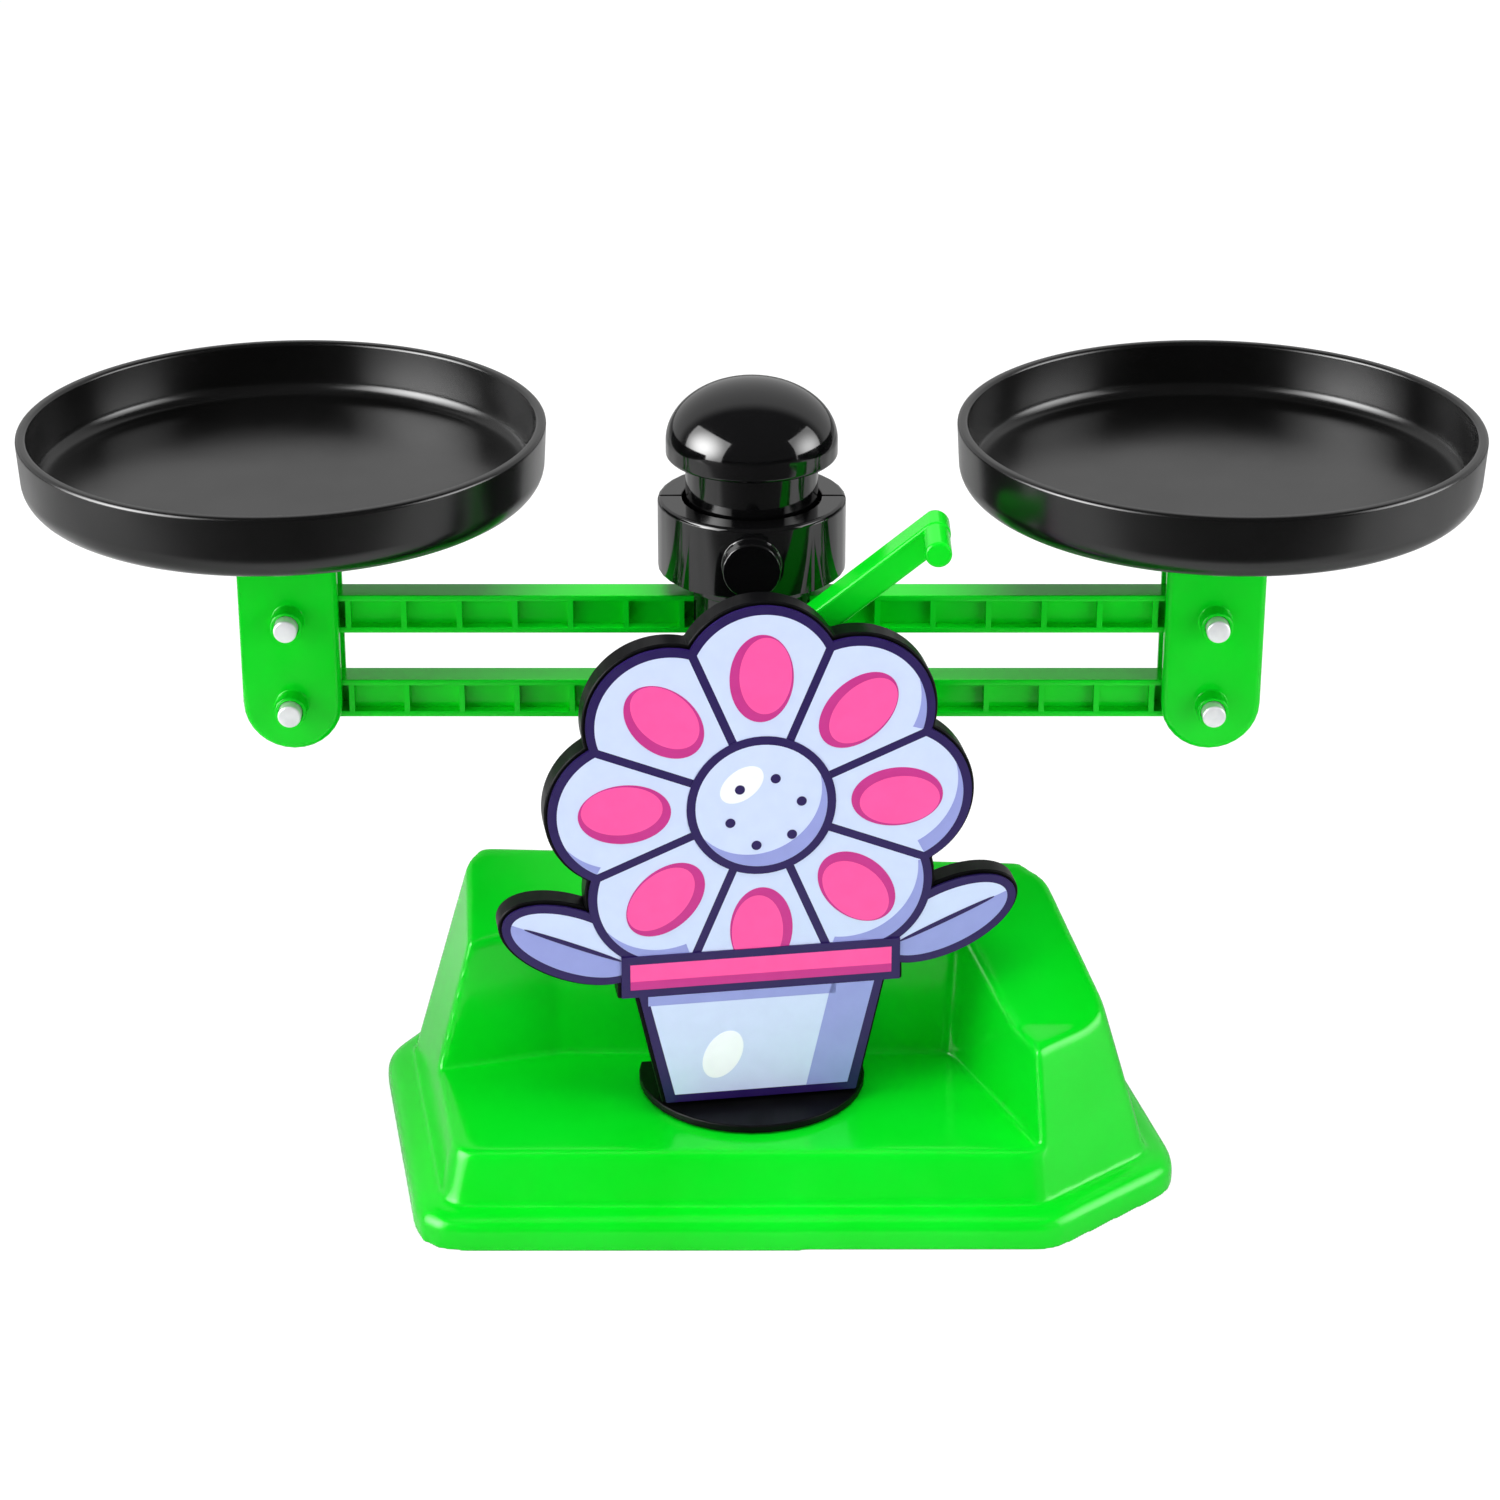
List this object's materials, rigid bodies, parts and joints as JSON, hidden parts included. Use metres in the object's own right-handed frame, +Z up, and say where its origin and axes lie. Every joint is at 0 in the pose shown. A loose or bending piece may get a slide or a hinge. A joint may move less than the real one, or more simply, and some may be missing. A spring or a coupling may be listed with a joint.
{
  "type": "toy two-pan balance",
  "caption": "Two-pan toy balance: level pans on parallel beams that rock on a round column, with a lock lever, a domed knob and a flower plaque on a stepped base.",
  "frame": {"origin": "point of the table under the column's axis", "axes": "+X along the beams towards the right pan, +Y towards the back, +Z up"},
  "size_m": [0.3336, 0.137, 0.1822],
  "materials": {
    "green_plastic": "glossy",
    "black_plastic": "glossy",
    "pan_plastic": "satin",
    "board_plastic": "satin",
    "print_film": "printed, semi-gloss",
    "steel": "polished"
  },
  "bodies": {
    "stand": {"base_shell": "green_plastic", "column_front": "black_plastic", "column_rear": "black_plastic", "column_screw_1": "steel", "column_screw_2": "steel", "column_screw_3": "steel", "column_screw_4": "steel", "base_screw_front": "steel", "base_screw_rear": "steel", "upper_pivot_pin": "steel", "lower_pivot_pin": "steel", "top_knob": "black_plastic", "plaque_stand": "board_plastic", "plaque_board": "board_plastic", "plaque_print": "print_film", "plaque_screw_1": "steel", "plaque_screw_2": "steel", "stand_screw_1": "steel", "stand_screw_2": "steel"},
    "upper_beam": {"upper_beam": "green_plastic"},
    "lower_beam": {"lower_beam": "green_plastic"},
    "left_side": {"left_carrier": "green_plastic", "left_pan": "pan_plastic", "left_pan_screw_1": "steel", "left_pan_screw_2": "steel", "left_upper_pin": "steel", "left_lower_pin": "steel"},
    "right_side": {"right_carrier": "green_plastic", "right_pan": "pan_plastic", "right_pan_screw_1": "steel", "right_pan_screw_2": "steel", "right_upper_pin": "steel", "right_lower_pin": "steel"},
    "lock": {"lock_lever": "green_plastic", "lock_shaft": "steel", "lock_screw": "steel"}
  },
  "joints": [
    {"name": "beam_tilt", "type": "hinge", "parent": "stand", "child": "upper_beam", "pos_m": [0, 0, 0.1266], "axis": [0, 1, 0], "range_deg": [-12, 12], "stiffness_Nm_per_rad": 0.025},
    {"name": "lower_beam_tilt", "type": "hinge", "parent": "stand", "child": "lower_beam", "pos_m": [0, 0, 0.1054], "axis": [0, 1, 0], "range_deg": [-12, 12]},
    {"name": "left_level", "type": "hinge", "parent": "upper_beam", "child": "left_side", "pos_m": [-0.1068, 0, 0.1266], "axis": [0, 1, 0], "range_deg": [-12, 12]},
    {"name": "right_level", "type": "hinge", "parent": "upper_beam", "child": "right_side", "pos_m": [0.1068, 0, 0.1266], "axis": [0, 1, 0], "range_deg": [-12, 12]},
    {"name": "lock_turn", "type": "hinge", "parent": "stand", "child": "lock", "pos_m": [0, 0, 0.116], "axis": [0, -1, 0], "range_deg": [-45, 15]}
  ],
  "couplings": [
    {"joint": "lower_beam_tilt", "follows": "beam_tilt", "ratio": 1},
    {"joint": "left_level", "follows": "beam_tilt", "ratio": -1},
    {"joint": "right_level", "follows": "beam_tilt", "ratio": -1}
  ]
}
